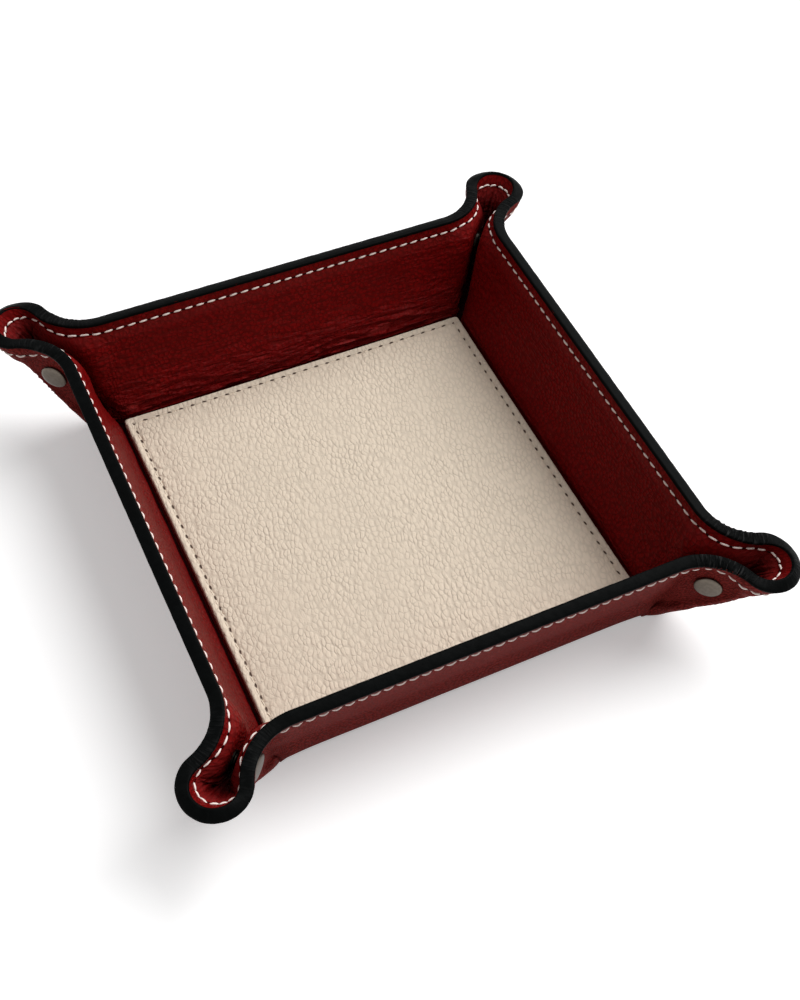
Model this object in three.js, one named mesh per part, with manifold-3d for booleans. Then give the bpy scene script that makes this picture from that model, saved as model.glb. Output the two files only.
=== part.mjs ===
// Square leather valet tray: a two-layer leather sheet folded up into four flared walls,
// pinched at each corner into a looped ear by a press snap, with a padded leather base.
// Millimetres, +Z up, origin at the middle of the underside. The back wall faces +Y.
import * as THREE from 'three';
import { mergeVertices } from 'three/addons/utils/BufferGeometryUtils.js';
import Module from 'manifold-3d';

// Sheet: two leathers glued face to face, the cut edge painted
const leather = 2.1;
const glueGap = 0.3;
const seamGap = 0.5;
const coatHeight = 0.9;
const coatGap = 0.3;
const coatRoundness = 0.6;

// Base and walls
const baseHalf = 75.2;
const baseCorner = 4;
const bendRadius = 5.5;
const rimHalf = 92.5;
const rimHeight = 49;
const earDrop = 1.8;

// Ears: the rim leaves the wall on a wide fillet, narrows to a neck and closes in a loop
const neckRadius = 22.3;
const loopRadius = 10.1;
const earReach = 16;
const loopShare = 0.26;
const earStraightShare = 0.6;
const straightStationShare = 1.5;
const skiveShare = 0.6;
const skiveHeight = 14;
const skiveStart = 1.2;
const skiveFull = 1.6;

// Press snaps through the two sides of each ear
const snapDrop = 18;
const snapStationShare = 1.586;
const snapHalfGap = 1.65;
const pinchMargin = 1;
const pinchFade = 8;
const capRadius = 5.2;
const capRise = 1.3;
const capEdge = 0.45;
const capShoulder = 0.8;
const capShoulderRise = 0.85;
const postRadius = 1.1;
const postClearance = 0.3;
const postStickOut = 0.1;
const ringRadius = 3.6;
const plateThickness = 0.5;
const headRadius = 2.3;
const headClearance = 0.4;
const ringDepth = 1.7;
const ringTaper = 0.4;
const headRise = 1.8;
const headRound = 0.3;
const headNeck = 0.2;

// Padded base panel
const padInset = 0.2;
const padCorner = 3;
const padRise = 3.8;
const padCrown = 0.9;
const padCover = 1.2;
const padSeamInset = 3;
const padSeamDip = 0.35;
const padShoulder = 14;
const boardThickness = 0.8;
const padClearance = 0.3;
const padCornerTaper = 0.3;
const padCornerLeast = 0.8;

// Facets
const bendSteps = 3;
const wallSteps = 2;
const neckSteps = 5;
const earSteps = 3;
const loopSteps = 6;
const coatSteps = 5;
const snapSides = 14;
const plateCornerSides = 6;
const padCornerSides = 3;
const padRings = [1.2, 8, 30, 50];
const tangentStep = 0.002;
const weldDistance = 1e-5;

// Finishes
const redLeather = { color: 0x6a1216, roughness: 0.55, metalness: 0 };
const redLining = { color: 0x5e0a0e, roughness: 0.55, metalness: 0 };
const blackCoat = { color: 0x1a1c1d, roughness: 0.45, metalness: 0 };
const beigeLeather = { color: 0xd3c2ad, roughness: 0.6, metalness: 0 };
const greyFoam = { color: 0x8d8d8a, roughness: 0.95, metalness: 0 };
const greyBoard = { color: 0x7c6f5f, roughness: 0.9, metalness: 0 };
const nickel = { color: 0x8a8278, roughness: 0.35, metalness: 1 };

const wasm = await Module();
wasm.setup();

const root2 = Math.SQRT2;
const sheet = 2 * leather + glueGap;
const half = sheet / 2;
const lerp = THREE.MathUtils.lerp;

// Wall section: a bend from the flat base into a straight slanted wall
const spread = rimHalf - baseHalf;
const bendCentre = half + bendRadius;
const rimReach = Math.hypot(spread, rimHeight - bendCentre);
const bendAngle = Math.atan2(rimHeight - bendCentre, spread) + Math.asin(bendRadius / rimReach);
const bendLength = bendRadius * bendAngle;
const slantLength = Math.sqrt(rimReach ** 2 - bendRadius ** 2);

function section(length) {
  const angle = Math.min(length / bendRadius, bendAngle);
  const slant = Math.max(length - bendLength, 0);
  const out = bendRadius * Math.sin(angle) + slant * Math.cos(bendAngle);
  const rise = bendRadius * (1 - Math.cos(angle)) + slant * Math.sin(bendAngle);
  return { share: out / spread, rise };
}

// Rim seen from above, from the middle of the back wall to the ear's tip on the diagonal
const loopCentre = rimHalf + earReach / root2;
const filletCentreY = rimHalf + neckRadius;
const filletRun = Math.sqrt((neckRadius + loopRadius) ** 2 - (filletCentreY - loopCentre) ** 2);
const filletX = loopCentre - filletRun;
const neckTurn = Math.atan2(loopCentre - filletCentreY, filletRun) + Math.PI / 2;
const loopTurn = neckTurn + Math.PI / 4;
const neckLength = neckRadius * neckTurn;
const earLength = neckLength + loopRadius * loopTurn;

function rimPoint(station) {
  if (station <= 1) {
    return [filletX * station, rimHalf];
  }
  const length = (station - 1) * earLength;
  if (length <= neckLength) {
    const angle = length / neckRadius - Math.PI / 2;
    return [filletX + neckRadius * Math.cos(angle), filletCentreY + neckRadius * Math.sin(angle)];
  }
  const angle = Math.PI / 2 + neckTurn - (length - neckLength) / loopRadius;
  return [loopCentre + loopRadius * Math.cos(angle), loopCentre + loopRadius * Math.sin(angle)];
}

function basePoint(station) {
  const straight = baseHalf - baseCorner;
  if (station <= 1) {
    return [straight * station, baseHalf];
  }
  const angle = Math.PI / 2 - (station - 1) * Math.PI / 4;
  return [straight + baseCorner * Math.cos(angle), straight + baseCorner * Math.sin(angle)];
}

// Share of the way from base to rim: walls follow the bend, ears rise in a straighter line
function reachAt(station, length) {
  const { share, rise } = section(length);
  const straight = rise / (rimHeight - half);
  const ear = THREE.MathUtils.smoothstep(station, 1, straightStationShare);
  return lerp(share, straight, earStraightShare * ear);
}

// Snap place on the diagonal plane, and how far the pinched sheet lies from that plane there
const snapHeight = rimHeight - snapDrop;
const snapRise = snapHeight - half - bendRadius * (1 - Math.cos(bendAngle));
const snapLength = bendLength + snapRise / Math.sin(bendAngle);
const [snapTopX, snapTopY] = rimPoint(snapStationShare);
const [snapLowX, snapLowY] = basePoint(snapStationShare);
const snapReach = reachAt(snapStationShare, snapLength);
const snapDiagonal = lerp(snapLowX + snapLowY, snapTopX + snapTopY, snapReach) / root2;
const pinchHalf = half + snapHalfGap;
const pinchSpan = capRadius + pinchMargin;
const pinchCore = pinchSpan * root2;

function pinch(point) {
  const along = (point.x + point.y) / root2;
  const apart = (point.y - point.x) / root2;
  const distance = Math.hypot(along - snapDiagonal, point.z - snapHeight);
  const weight = 1 - THREE.MathUtils.smoothstep(distance, pinchCore, pinchCore + pinchFade);
  const pulled = apart - Math.max(apart - pinchHalf, 0) * weight;
  point.x = (along - pulled) / root2;
  point.y = (along + pulled) / root2;
  return point;
}

// Middle of the sheet in the back wall's right half: station 0 mid-wall, 1 ear root, 2 ear tip
function middle(station, length) {
  const reach = reachAt(station, length);
  const [topX, topY] = rimPoint(station);
  const [lowX, lowY] = basePoint(station);
  const drop = earDrop * Math.max(station - 1, 0) * reach;
  const height = half + section(length).rise - drop;
  return pinch(new THREE.Vector3(lerp(lowX, topX, reach), lerp(lowY, topY, reach), height));
}

function frameAt(station, length) {
  const before = middle(Math.max(station - tangentStep, 0), length);
  const after = middle(Math.min(station + tangentStep, 2), length);
  const along = after.sub(before);
  if (station === 0) {
    along.set(1, 0, 0);
  }
  if (station === 2) {
    along.set(1, -1, 0);
  }
  const below = middle(station, Math.max(length - tangentStep, 0));
  const lift = middle(station, length + tangentStep).sub(below);
  const normal = lift.clone().cross(along).normalize();
  return { point: middle(station, length), normal, lift: lift.normalize() };
}

// Signed stations run along a whole wall; past 2 they cross the diagonal into the next wall's ear half
function wallFrame(station, length) {
  const size = Math.abs(station);
  const frame = frameAt(size > 2 ? 4 - size : size, length);
  for (const vector of [frame.point, frame.normal, frame.lift]) {
    if (size > 2) {
      vector.set(vector.y, vector.x, vector.z);
    }
    if (station < 0) {
      vector.x = -vector.x;
    }
  }
  return frame;
}

function offsetPoint(frame, out, up) {
  return frame.point.clone().addScaledVector(frame.normal, out).addScaledVector(frame.lift, up);
}

// Indexed geometry, and a four-sided face split in two
function geometryFrom(points, triangles) {
  const geometry = new THREE.BufferGeometry();
  const places = points.flatMap((p) => p.toArray());
  geometry.setAttribute('position', new THREE.Float32BufferAttribute(places, 3));
  geometry.setIndex(triangles);
  return geometry;
}

function quad(a, b, c, d) {
  return [a, b, c, a, c, d];
}

// The lining is pared thin low in the ears, where the sheet folds tightest
function pared(out, station, length) {
  const size = Math.abs(station);
  const fold = THREE.MathUtils.smoothstep(size > 2 ? 4 - size : size, skiveStart, skiveFull);
  const low = 1 - THREE.MathUtils.smoothstep(length, bendLength, bendLength + skiveHeight);
  return out < 0 ? out * (1 - skiveShare * fold * low) : out;
}

// Leather panel: a grid of stations and lengths, thick from one offset to the other
function leatherPanel(stations, lengths, inner, outer) {
  const points = [];
  for (const out of [outer, inner]) {
    for (const station of stations) {
      for (const length of lengths) {
        points.push(offsetPoint(wallFrame(station, length), pared(out, station, length), 0));
      }
    }
  }
  const rows = stations.length;
  const cols = lengths.length;
  const at = (layer, i, j) => (layer * rows + i) * cols + j;
  const triangles = [];
  for (let i = 0; i < rows - 1; i += 1) {
    for (let j = 0; j < cols - 1; j += 1) {
      triangles.push(...quad(at(0, i, j), at(0, i, j + 1), at(0, i + 1, j + 1), at(0, i + 1, j)));
      triangles.push(...quad(at(1, i, j), at(1, i + 1, j), at(1, i + 1, j + 1), at(1, i, j + 1)));
    }
    triangles.push(...quad(at(0, i, 0), at(0, i + 1, 0), at(1, i + 1, 0), at(1, i, 0)));
    const top = cols - 1;
    triangles.push(...quad(at(0, i, top), at(1, i, top), at(1, i + 1, top), at(0, i + 1, top)));
  }
  for (let j = 0; j < cols - 1; j += 1) {
    triangles.push(...quad(at(0, 0, j), at(1, 0, j), at(1, 0, j + 1), at(0, 0, j + 1)));
    const end = rows - 1;
    triangles.push(...quad(at(0, end, j), at(0, end, j + 1), at(1, end, j + 1), at(1, end, j)));
  }
  return geometryFrom(points, triangles);
}

// Painted edge: a low rounded bead swept along the top of the sheet
function edgeCoat(stations, topLength) {
  const profile = [];
  for (let i = 0; i <= coatSteps; i += 1) {
    const angle = Math.PI * i / coatSteps;
    profile.push([half * Math.cos(angle), coatGap + coatHeight * Math.sin(angle) ** coatRoundness]);
  }
  const points = [];
  for (const station of stations) {
    const frame = wallFrame(station, topLength);
    points.push(...profile.map(([out, up]) => offsetPoint(frame, out, up)));
  }
  const count = profile.length;
  const triangles = [];
  for (let i = 0; i < stations.length - 1; i += 1) {
    for (let j = 0; j < count; j += 1) {
      const next = (j + 1) % count;
      const [a, b] = [i * count, (i + 1) * count];
      triangles.push(...quad(a + next, b + next, b + j, a + j));
    }
  }
  const last = (stations.length - 1) * count;
  for (let j = 1; j < count - 1; j += 1) {
    triangles.push(0, j + 1, j);
    triangles.push(last, last + j, last + j + 1);
  }
  return geometryFrom(points, triangles);
}

// Where the sheet is cut into pieces, in stations and lengths along the wall section
function spaced(from, to, steps) {
  return Array.from({ length: steps + 1 }, (_, i) => lerp(from, to, i / steps));
}

const sheetTop = bendLength + slantLength - coatHeight - coatGap;
const lengths = [
  ...spaced(0, bendLength, bendSteps),
  ...spaced(bendLength, snapLength - pinchSpan, wallSteps).slice(1),
  snapLength,
  snapLength + pinchSpan,
  sheetTop,
];
const neckEnd = 1 + neckLength / earLength;
const loopStart = 2 - loopShare;
const seamStep = seamGap / 2 / earLength;
const halfStations = [
  ...spaced(0, 1, wallSteps),
  ...spaced(1, neckEnd, neckSteps).slice(1),
  ...spaced(neckEnd, loopStart - seamStep, earSteps).slice(1),
];
const wallStations = [...halfStations.slice(1).reverse().map((s) => -s), ...halfStations];
const loopStations = spaced(loopStart + seamStep, 4 - loopStart - seamStep, loopSteps);

const outerLayer = [glueGap / 2, half];
const liningLayer = [-half, -glueGap / 2];

// Solids for cutting, and back to geometry
function solidOf(geometry) {
  const bare = geometry.clone();
  bare.deleteAttribute('normal');
  bare.deleteAttribute('uv');
  const merged = mergeVertices(bare, weldDistance);
  const vertProperties = new Float32Array(merged.attributes.position.array);
  const triVerts = new Uint32Array(merged.index.array);
  return new wasm.Manifold(new wasm.Mesh({ numProp: 3, vertProperties, triVerts }));
}

function geometryOf(solid) {
  const mesh = solid.getMesh();
  const geometry = new THREE.BufferGeometry();
  geometry.setAttribute('position', new THREE.Float32BufferAttribute(mesh.vertProperties, 3));
  geometry.setIndex(new THREE.Uint32BufferAttribute(mesh.triVerts, 1));
  return geometry;
}

// The snap's axis crosses the diagonal plane square on
const snapAxis = new THREE.Vector3(-1, 1, 0).normalize();
const snapPlace = new THREE.Vector3(snapDiagonal / root2, snapDiagonal / root2, snapHeight);
const axisTurn = new THREE.Quaternion().setFromUnitVectors(new THREE.Vector3(0, 1, 0), snapAxis);
const snapMatrix = new THREE.Matrix4().compose(snapPlace, axisTurn, new THREE.Vector3(1, 1, 1));

function postHoles() {
  const holeLength = 2 * (pinchHalf + sheet);
  const drill = new THREE.CylinderGeometry(
    postRadius + postClearance,
    postRadius + postClearance,
    holeLength,
    snapSides,
  );
  const right = drill.clone().applyMatrix4(snapMatrix);
  const left = right.clone().applyMatrix4(new THREE.Matrix4().makeScale(-1, 1, 1));
  left.setIndex([...left.index.array].reverse());
  return solidOf(right).add(solidOf(left));
}

const holes = postHoles();

function wallPanel(layer) {
  return geometryOf(solidOf(leatherPanel(wallStations, lengths, ...layer)).subtract(holes));
}

// Press snap pieces, turned about the snap's axis; apart counts from the diagonal plane
const innerFace = snapHalfGap - glueGap;
const outerFace = pinchHalf + half + glueGap;

function turned(profile, sign) {
  const ordered = sign > 0 ? profile : profile.map(([r, y]) => [r, -y]).reverse();
  const points = ordered.map(([r, y]) => new THREE.Vector2(r, y));
  return new THREE.LatheGeometry(points, snapSides);
}

function capProfile() {
  const postEnd = innerFace - plateThickness - postStickOut;
  return [
    [0, postEnd],
    [postRadius, postEnd],
    [postRadius, outerFace],
    [capRadius, outerFace],
    [capRadius, outerFace + capEdge],
    [capRadius * capShoulder, outerFace + capRise * capShoulderRise],
    [0, outerFace + capRise],
  ];
}

function ringProfile() {
  const bore = headRadius + headClearance;
  const hole = postRadius + postClearance;
  return [
    [hole, innerFace - plateThickness],
    [bore, innerFace - plateThickness],
    [bore, innerFace - ringDepth],
    [ringRadius - ringTaper, innerFace - ringDepth],
    [ringRadius, innerFace - plateThickness],
    [ringRadius, innerFace],
    [hole, innerFace],
    [hole, innerFace - plateThickness],
  ];
}

function studProfile() {
  const hole = postRadius + postClearance;
  return [
    [hole, innerFace - headRise],
    [headRadius - headRound, innerFace - headRise],
    [headRadius, innerFace - headRise + headRound],
    [headRadius - headNeck, innerFace - plateThickness],
    [ringRadius, innerFace - plateThickness],
    [ringRadius, innerFace],
    [hole, innerFace],
    [hole, innerFace - headRise],
  ];
}

const snapPieces = [
  ['socket_cap', capProfile(), 1],
  ['socket', ringProfile(), 1],
  ['stud', studProfile(), -1],
  ['stud_cap', capProfile(), -1],
];

// Base panel pieces: rounded squares, the pad crowned inside a flat sewn margin
function roundedSquare(size, corner, sides) {
  const points = [];
  const inner = size - corner;
  for (const [turn, signX, signY] of [[0, 1, 1], [1, -1, 1], [2, -1, -1], [3, 1, -1]]) {
    for (let i = 0; i <= sides; i += 1) {
      const angle = Math.PI / 2 * (turn + i / sides);
      const x = inner * signX + corner * Math.cos(angle);
      const y = inner * signY + corner * Math.sin(angle);
      points.push(new THREE.Vector2(x, y));
    }
  }
  return points;
}

function plate(size, corner, low, high) {
  const outline = new THREE.Shape(roundedSquare(size, corner, plateCornerSides));
  const geometry = new THREE.ExtrudeGeometry(outline, { depth: high - low, bevelEnabled: false });
  return geometry.translate(0, 0, low);
}

const padHalf = baseHalf - padInset;
const padFloor = sheet + glueGap;
const fillCorner = padCorner - padCover;

function padHeight(inset) {
  const seam = THREE.MathUtils.smoothstep(inset, padSeamInset, padShoulder);
  const margin = padSeamDip * THREE.MathUtils.smoothstep(inset, 0, padSeamInset);
  const dome = padCrown * Math.sin(Math.PI / 2 * THREE.MathUtils.clamp(inset / padHalf, 0, 1));
  return padRise - margin + seam * (padSeamDip + dome);
}

// Domed block: rings of a rounded square, each at the pad's height for its inset from the edge
function domedBlock(size, corner, low, drop) {
  const edge = padHalf - size;
  const insets = [padSeamInset, padShoulder, ...padRings].filter((inset) => inset > edge);
  insets.sort((a, b) => a - b);
  const surface = (inset) => padFloor + padHeight(inset) - drop;
  const rings = [[edge, low], ...[edge, ...insets].map((inset) => [inset, surface(inset)])];
  const points = [];
  for (const [inset, height] of rings) {
    const ringCorner = Math.max(corner - (inset - edge) * padCornerTaper, padCornerLeast);
    const ring = roundedSquare(padHalf - inset, ringCorner, padCornerSides);
    points.push(...ring.map((p) => new THREE.Vector3(p.x, p.y, height)));
  }
  const count = 4 * (padCornerSides + 1);
  const triangles = [];
  for (let i = 0; i < rings.length - 1; i += 1) {
    for (let j = 0; j < count; j += 1) {
      const next = (j + 1) % count;
      const [a, b] = [i * count, (i + 1) * count];
      triangles.push(...quad(a + j, a + next, b + next, b + j));
    }
  }
  const top = points.length;
  const bottom = top + 1;
  points.push(new THREE.Vector3(0, 0, surface(padHalf)), new THREE.Vector3(0, 0, low));
  const last = (rings.length - 1) * count;
  for (let j = 0; j < count; j += 1) {
    const next = (j + 1) % count;
    triangles.push(last + j, last + next, top);
    triangles.push(next, j, bottom);
  }
  return geometryFrom(points, triangles);
}

function padShell() {
  const outer = solidOf(domedBlock(padHalf, padCorner, padFloor, 0));
  const cavity = solidOf(domedBlock(padHalf - padCover, fillCorner, padFloor - padCover, padCover));
  return geometryOf(outer.subtract(cavity));
}

const fillHalf = padHalf - padCover - padClearance;
const boardTop = padFloor + boardThickness;
const foamFloor = boardTop + glueGap;

// Assembly
const tray = new THREE.Group();

function addPiece(name, geometry, finish, holder = tray) {
  const mesh = new THREE.Mesh(geometry, new THREE.MeshStandardMaterial(finish));
  mesh.name = name;
  holder.add(mesh);
  return mesh;
}

addPiece('base_outer', plate(baseHalf - seamGap, baseCorner, 0, leather), redLeather);
addPiece('base_lining', plate(baseHalf - seamGap, baseCorner, leather + glueGap, sheet), redLining);
addPiece('pad_board', plate(fillHalf, fillCorner, padFloor, boardTop), greyBoard);
addPiece('pad_foam', domedBlock(fillHalf, fillCorner, foamFloor, padCover + padClearance), greyFoam);
addPiece('pad_cover', padShell(), beigeLeather);

const walls = ['back', 'right', 'front', 'left'];
const corners = ['back_right', 'front_right', 'front_left', 'back_left'];

walls.forEach((wall, index) => {
  const side = new THREE.Group();
  side.rotation.z = -Math.PI / 2 * index;
  tray.add(side);
  addPiece(`${wall}_wall_outer`, wallPanel(outerLayer), redLeather, side);
  addPiece(`${wall}_wall_lining`, wallPanel(liningLayer), redLining, side);
  addPiece(`${wall}_wall_edge_coat`, edgeCoat(wallStations, sheetTop), blackCoat, side);
  const corner = corners[index];
  addPiece(`${corner}_loop_outer`, leatherPanel(loopStations, lengths, ...outerLayer), redLeather, side);
  addPiece(`${corner}_loop_lining`, leatherPanel(loopStations, lengths, ...liningLayer), redLining, side);
  addPiece(`${corner}_loop_edge_coat`, edgeCoat(loopStations, sheetTop), blackCoat, side);
  for (const [piece, profile, sign] of snapPieces) {
    const mesh = addPiece(`${corner}_${piece}`, turned(profile, sign), nickel, side);
    mesh.applyMatrix4(snapMatrix);
  }
});

export default tray;
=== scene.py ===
# Square leather valet tray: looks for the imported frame, in metres, +Z up.
# Sizes below are in millimetres; makePiece turns them into metres.
import math

import bpy
import numpy as np
from mathutils import Matrix, Vector, noise


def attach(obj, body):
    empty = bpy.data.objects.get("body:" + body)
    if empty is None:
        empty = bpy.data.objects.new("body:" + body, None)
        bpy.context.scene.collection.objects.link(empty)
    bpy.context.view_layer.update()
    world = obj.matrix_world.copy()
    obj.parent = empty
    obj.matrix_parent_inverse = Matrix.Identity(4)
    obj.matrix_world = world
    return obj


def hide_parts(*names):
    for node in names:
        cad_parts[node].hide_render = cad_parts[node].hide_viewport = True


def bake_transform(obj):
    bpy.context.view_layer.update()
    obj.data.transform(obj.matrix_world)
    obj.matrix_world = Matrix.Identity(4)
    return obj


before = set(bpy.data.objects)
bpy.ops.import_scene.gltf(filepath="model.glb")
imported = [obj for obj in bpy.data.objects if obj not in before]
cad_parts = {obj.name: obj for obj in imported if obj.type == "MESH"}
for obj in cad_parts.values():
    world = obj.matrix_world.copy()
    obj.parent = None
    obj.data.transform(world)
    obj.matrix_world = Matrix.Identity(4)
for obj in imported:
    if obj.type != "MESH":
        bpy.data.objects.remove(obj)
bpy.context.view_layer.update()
mm = 0.001
scene = bpy.context.scene
wallNames = ["back", "right", "front", "left"]
cornerNames = ["back_right", "front_right", "front_left", "back_left"]


# Folded sheet: the same surface as the solids, from the base up into walls and ears
sheetLook = {
    "thickness": 4.5,
    "baseHalf": 75.2,
    "baseCorner": 4.0,
    "bendRadius": 5.5,
    "rimHalf": 92.5,
    "rimHeight": 49.0,
    "earDrop": 1.8,
    "neckRadius": 22.3,
    "loopRadius": 10.1,
    "earReach": 16.0,
    "loopShare": 0.26,
    "earStraight": 0.3,
    "straightStation": 1.5,
    "snapDrop": 18.0,
    "snapInset": 3.4,
    "snapHalfGap": 1.65,
    "pinchSpan": 6.2,
    "pinchFade": 8.0,
    "coatHeight": 0.9,
}
half = sheetLook["thickness"] / 2
baseHalf = sheetLook["baseHalf"]
bendRadius = sheetLook["bendRadius"]
rimHalf = sheetLook["rimHalf"]
rimHeight = sheetLook["rimHeight"]
neckRadius = sheetLook["neckRadius"]
loopRadius = sheetLook["loopRadius"]
root2 = math.sqrt(2)
spread = rimHalf - baseHalf
bendCentre = half + bendRadius
rimReach = math.hypot(spread, rimHeight - bendCentre)
bendAngle = math.atan2(rimHeight - bendCentre, spread) + math.asin(bendRadius / rimReach)
bendLength = bendRadius * bendAngle
slantLength = math.sqrt(rimReach ** 2 - bendRadius ** 2)
rimLength = bendLength + slantLength
leatherTop = rimLength - sheetLook["coatHeight"]
loopCentre = rimHalf + sheetLook["earReach"] / root2
filletCentreY = rimHalf + neckRadius
filletRun = math.sqrt((neckRadius + loopRadius) ** 2 - (filletCentreY - loopCentre) ** 2)
filletX = loopCentre - filletRun
neckTurn = math.atan2(loopCentre - filletCentreY, filletRun) + math.pi / 2
neckLength = neckRadius * neckTurn
earLength = neckLength + loopRadius * (neckTurn + math.pi / 4)
neckEnd = 1 + neckLength / earLength
loopStart = 2 - sheetLook["loopShare"]
snapDiagonal = (filletX + filletCentreY) / root2 - sheetLook["snapInset"]
snapHeight = rimHeight - sheetLook["snapDrop"]
pinchHalf = half + sheetLook["snapHalfGap"]
pinchCore = sheetLook["pinchSpan"] * root2


def smooth(value, low, high):
    share = np.clip((value - low) / (high - low), 0, 1)
    return share * share * (3 - 2 * share)


def faded(value, low, high):
    return 1 - smooth(value, low, high)


def rimPoint(station):
    length = (station - 1) * earLength
    neckAngle = length / neckRadius - math.pi / 2
    loopAngle = math.pi / 2 + neckTurn - (length - neckLength) / loopRadius
    neckX, neckY = filletX + neckRadius * np.cos(neckAngle), filletCentreY + neckRadius * np.sin(neckAngle)
    loopX, loopY = loopCentre + loopRadius * np.cos(loopAngle), loopCentre + loopRadius * np.sin(loopAngle)
    inNeck = length <= neckLength
    onWall = station <= 1
    x = np.where(onWall, filletX * station, np.where(inNeck, neckX, loopX))
    return x, np.where(onWall, rimHalf, np.where(inNeck, neckY, loopY))


def basePoint(station):
    corner = sheetLook["baseCorner"]
    straight = baseHalf - corner
    angle = math.pi / 2 - (station - 1) * math.pi / 4
    onWall = station <= 1
    x = np.where(onWall, straight * station, straight + corner * np.cos(angle))
    y = np.where(onWall, baseHalf, straight + corner * np.sin(angle))
    return x, y


def alongOf(point):
    return float(point[0] + point[1]) / root2


neckTop = alongOf(rimPoint(np.array(neckEnd)))
neckLow = alongOf(basePoint(np.array(neckEnd)))


# Below the snap each flat wall runs on to the corner and turns sharply into the closed fold
foldLook = {
    "gap": 0.6,
    "gapMargin": 8.0,
    "round": 0.35,
    "footRound": 2.6,
    "footBand": (4.0, 24.0),
    "throatClear": 1.0,
    "relax": 9.0,
    "aboveSnap": 1.0,
    "belowRim": 3.0,
    "start": (1.0, 1.15),
    "lift": (3.0, 9.0),
}


def tightFold(station, wallShare, share, z, along, apart):
    flat = root2 * (baseHalf + spread * wallShare) - along
    margin = foldLook["gapMargin"]
    opened = sheetLook["snapHalfGap"] - foldLook["gap"]
    gap = foldLook["gap"] + opened * smooth(z, margin, snapHeight - margin)
    closed = half + gap
    bend = foldLook["round"] + foldLook["footRound"] * faded(z, *foldLook["footBand"])
    sharp = 0.5 * (flat + closed + np.sqrt((flat - closed) ** 2 + 4 * bend ** 2))
    throat = neckLow + (neckTop - neckLow) * share
    held = faded(along - throat, foldLook["throatClear"], foldLook["relax"])
    held = held * faded(z, snapHeight + foldLook["aboveSnap"], rimHeight - foldLook["belowRim"])
    held = held * smooth(station, *foldLook["start"]) * smooth(z, *foldLook["lift"])
    return apart - np.maximum(apart - sharp, 0) * held


# Middle of the sheet; stations run 0 mid-wall, 1 ear root, 2 ear tip, mirrored for the other end.
# Walls follow the bend, ears rise in a straighter line.
def middle(station, length):
    size = np.abs(station)
    over = size > 2
    folded = np.where(over, 4 - size, size)
    angle = np.minimum(length / bendRadius, bendAngle)
    slant = np.maximum(length - bendLength, 0)
    wallShare = (bendRadius * np.sin(angle) + slant * math.cos(bendAngle)) / spread
    rise = bendRadius * (1 - np.cos(angle)) + slant * math.sin(bendAngle)
    straighter = sheetLook["earStraight"] * smooth(folded, 1.0, sheetLook["straightStation"])
    share = wallShare + (rise / (rimHeight - half) - wallShare) * straighter
    topX, topY = rimPoint(folded)
    lowX, lowY = basePoint(folded)
    x = lowX + (topX - lowX) * share
    y = lowY + (topY - lowY) * share
    z = half + rise - sheetLook["earDrop"] * np.maximum(folded - 1, 0) * share
    along = (x + y) / root2
    apart = tightFold(folded, wallShare, share, z, along, (y - x) / root2)
    distance = np.hypot(along - snapDiagonal, z - snapHeight)
    weight = faded(distance, pinchCore, pinchCore + sheetLook["pinchFade"])
    pulled = apart - np.maximum(apart - pinchHalf, 0) * weight
    x = (along - pulled) / root2
    y = (along + pulled) / root2
    x, y = np.where(over, y, x), np.where(over, x, y)
    return np.stack([np.where(station < 0, -x, x), y, z], axis=-1)


def unit(vectors):
    return vectors / np.maximum(np.linalg.norm(vectors, axis=-1, keepdims=True), 1e-9)


# Point, outward normal and upward direction of the sheet
def sheetFrame(station, length):
    step = 0.004
    along = middle(station + step, length) - middle(station - step, length)
    lift = middle(station, length + step) - middle(station, np.maximum(length - step, 0))
    return middle(station, length), unit(np.cross(lift, along)), unit(lift)


# Fullness of the two leathers along the foot of the walls and the low sides of the ears.
# A pair is the span of stations, or of lengths up the sheet, over which something comes or goes.
fullLook = {
    "foot": 2.4,
    "footLow": (3.0, 13.0),
    "footKept": 0.2,
    "footEnds": (1.1, 1.5),
    "footTrail": 0.35,
    "footFade": (-1.0, 14.0),
    "corner": 0.7,
    "cornerBand": (0.85, 1.15),
    "ear": {"back_right": 1.3, "front_right": 1.8, "front_left": 1.5, "back_left": 1.3},
    "earTop": {"back_right": 36.0, "front_right": 46.0, "front_left": 27.0, "back_left": 36.0},
    "earBegin": 1.2,
    "earShift": 0.46,
    "earShiftBand": (8.0, 20.0),
    "earSpan": 0.25,
    "earFade": 20.0,
    "floorGap": 0.05,
    "lining": 1.5,
    "liningRise": (2.0, 6.5),
    "liningFall": (9.0, 21.0),
    "liningEnds": (0.95, 1.25),
    "skive": 0.6,
    "skiveHeight": 14.0,
    "skiveBand": (1.2, 1.6),
}


# The lining is pared thin low in the ears, and bulges where it is pressed together along the foot
def liningDepth(station, length):
    size = np.abs(station)
    fold = smooth(size, *fullLook["skiveBand"])
    low = faded(length, bendLength, bendLength + fullLook["skiveHeight"])
    bulge = smooth(length, *fullLook["liningRise"]) * faded(length, *fullLook["liningFall"])
    bulge = bulge * faded(size, *fullLook["liningEnds"])
    return half * (1 - fullLook["skive"] * fold * low) + fullLook["lining"] * bulge


# A value of the ear at each end of a wall, by the sign of the station
def earValue(values, wall, station):
    index = wallNames.index(wall)
    return np.where(station > 0, values[cornerNames[index]], values[cornerNames[index - 1]])


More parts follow.
